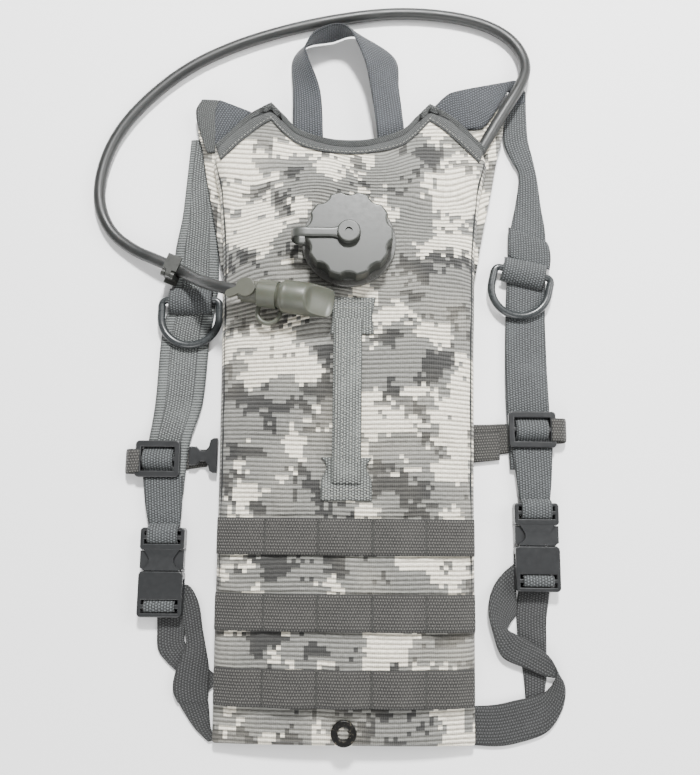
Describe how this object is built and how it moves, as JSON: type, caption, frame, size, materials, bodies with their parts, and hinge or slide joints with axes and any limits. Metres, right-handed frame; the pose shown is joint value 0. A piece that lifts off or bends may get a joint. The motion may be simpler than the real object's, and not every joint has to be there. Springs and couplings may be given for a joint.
{
  "type": "hydration pack",
  "caption": "Slim back carrier for a water reservoir, with a screw filler cap, drinking hose with bite valve, load webbing, haul loop and buckled shoulder straps.",
  "frame": {"origin": "on the resting face of the back panel, on the pack's centre line, near the middle of its length", "axes": "+X to the pack's left-hand side as worn face down, which is the picture's right; +Y towards the haul handle; +Z out of the front panel"},
  "size_m": [0.3655, 0.5704, 0.0642],
  "materials": {
    "printed_fabric": "digital pattern print on ribbed nylon",
    "back_fabric": "padded nylon",
    "liner_foam": "closed cell foam",
    "binding_tape": "woven tape, stitched",
    "load_webbing": "flat woven webbing",
    "strap_webbing": "woven webbing",
    "grommet_metal": "black enamel",
    "bag_film": "clear film",
    "filler_plastic": "satin",
    "cap_plastic": "satin moulded",
    "gasket_rubber": "soft",
    "fitting_plastic": "moulded",
    "hose_tube": "smooth tube",
    "clip_plastic": "moulded",
    "valve_plastic": "moulded",
    "bite_rubber": "soft moulded",
    "ring_plastic": "moulded",
    "buckle_plastic": "moulded"
  },
  "bodies": {
    "pack": {"front_panel": "printed_fabric", "left_shoulder_ear": "printed_fabric", "right_shoulder_ear": "printed_fabric", "back_panel": "back_fabric", "foam_liner": "liner_foam", "collar_binding": "binding_tape", "left_shoulder_binding": "binding_tape", "right_shoulder_binding": "binding_tape", "upper_load_webbing": "load_webbing", "middle_load_webbing": "load_webbing", "lower_load_webbing": "load_webbing", "upper_strap_tab": "load_webbing", "lower_strap_patch": "load_webbing", "retaining_strap": "load_webbing", "haul_handle": "strap_webbing", "left_shoulder_strap": "strap_webbing", "right_shoulder_strap": "strap_webbing", "left_strap_anchor": "strap_webbing", "right_strap_anchor": "strap_webbing", "left_d_ring_keeper": "strap_webbing", "right_d_ring_keeper": "strap_webbing", "left_strap_tab": "strap_webbing", "right_strap_tab": "strap_webbing", "left_lower_strap": "strap_webbing", "right_lower_strap": "strap_webbing", "chest_strap_loop": "strap_webbing", "chest_strap": "strap_webbing", "grommet_eyelet": "grommet_metal", "grommet_washer": "grommet_metal", "reservoir_bag": "bag_film", "filler_neck": "filler_plastic", "filler_flange": "filler_plastic", "cap_tether": "cap_plastic", "hose_elbow": "fitting_plastic", "inner_hose": "hose_tube", "drink_hose": "hose_tube", "hose_clip_base": "clip_plastic", "valve_body": "valve_plastic", "bite_valve": "bite_rubber", "bite_valve_ring": "bite_rubber", "left_adjuster": "buckle_plastic", "right_adjuster": "buckle_plastic", "left_buckle_socket": "buckle_plastic", "right_buckle_socket": "buckle_plastic", "chest_strap_end": "buckle_plastic", "chest_strap_socket": "buckle_plastic"},
    "cap_carrier": {"tether_button": "cap_plastic"},
    "cap": {"cap": "cap_plastic", "cap_gasket": "gasket_rubber"},
    "left_d_ring": {"left_d_ring": "ring_plastic"},
    "right_d_ring": {"right_d_ring": "ring_plastic"},
    "clip_jaw": {"hose_clip_jaw": "clip_plastic"},
    "valve_lever": {"valve_lever": "valve_plastic"},
    "left_buckle_plug": {"left_buckle_plug": "buckle_plastic"},
    "left_buckle_left_arm": {"left_buckle_left_arm": "buckle_plastic"},
    "left_buckle_right_arm": {"left_buckle_right_arm": "buckle_plastic"},
    "right_buckle_plug": {"right_buckle_plug": "buckle_plastic"},
    "right_buckle_left_arm": {"right_buckle_left_arm": "buckle_plastic"},
    "right_buckle_right_arm": {"right_buckle_right_arm": "buckle_plastic"}
  },
  "joints": [
    {"name": "cap_lift", "type": "slide", "parent": "pack", "child": "cap_carrier", "axis": [0, 0, 1], "range_m": [0, 0.0061], "deforming": ["cap_tether"]},
    {"name": "cap_turn", "type": "hinge", "parent": "cap_carrier", "child": "cap", "pos_m": [0, 0.108, 0.05], "axis": [0, 0, 1], "range_deg": [0, 540]},
    {"name": "left_d_ring_swing", "type": "hinge", "parent": "pack", "child": "left_d_ring", "pos_m": [-0.1206, 0.0715, 0.0074], "axis": [-1, 0, 0], "range_deg": [0, 80]},
    {"name": "right_d_ring_swing", "type": "hinge", "parent": "pack", "child": "right_d_ring", "pos_m": [0.1345, 0.0965, 0.0074], "axis": [-0.9744, 0.225, 0], "range_deg": [0, 110]},
    {"name": "clip_jaw_swing", "type": "hinge", "parent": "pack", "child": "clip_jaw", "pos_m": [-0.14141, 0.09072, 0.018], "axis": [0.9326, -0.361, 0], "range_deg": [0, 100]},
    {"name": "valve_lever_turn", "type": "hinge", "parent": "pack", "child": "valve_lever", "pos_m": [-0.07229, 0.06753, 0.05486], "axis": [-0.1326, 0.0198, 0.991], "range_deg": [0, 90]},
    {"name": "left_buckle_release", "type": "slide", "parent": "pack", "child": "left_buckle_plug", "axis": [0, 1, 0], "range_m": [0, 0.019], "deforming": ["left_strap_tab"]},
    {"name": "left_buckle_left_squeeze", "type": "hinge", "parent": "left_buckle_plug", "child": "left_buckle_left_arm", "pos_m": [-0.1431, -0.1165, 0.0068], "axis": [0, 0, 1], "range_deg": [0, 6], "stiffness_Nm_per_rad": 0.05},
    {"name": "left_buckle_right_squeeze", "type": "hinge", "parent": "left_buckle_plug", "child": "left_buckle_right_arm", "pos_m": [-0.1221, -0.1165, 0.0068], "axis": [0, 0, -1], "range_deg": [0, 6.05], "stiffness_Nm_per_rad": 0.05},
    {"name": "right_buckle_release", "type": "slide", "parent": "pack", "child": "right_buckle_plug", "axis": [0, 1, 0], "range_m": [0, 0.019], "deforming": ["right_strap_tab"]},
    {"name": "right_buckle_left_squeeze", "type": "hinge", "parent": "right_buckle_plug", "child": "right_buckle_left_arm", "pos_m": [0.1281, -0.096, 0.0068], "axis": [0, 0, 1], "range_deg": [0, 6], "stiffness_Nm_per_rad": 0.05},
    {"name": "right_buckle_right_squeeze", "type": "hinge", "parent": "right_buckle_plug", "child": "right_buckle_right_arm", "pos_m": [0.1491, -0.096, 0.0068], "axis": [0, 0, -1], "range_deg": [0, 6.05], "stiffness_Nm_per_rad": 0.05}
  ],
  "couplings": [
    {"joint": "cap_lift", "follows": "cap_turn", "m_per_rad": 0.00063662},
    {"joint": "left_buckle_right_squeeze", "follows": "left_buckle_left_squeeze", "ratio": 1},
    {"joint": "right_buckle_right_squeeze", "follows": "right_buckle_left_squeeze", "ratio": 1}
  ]
}
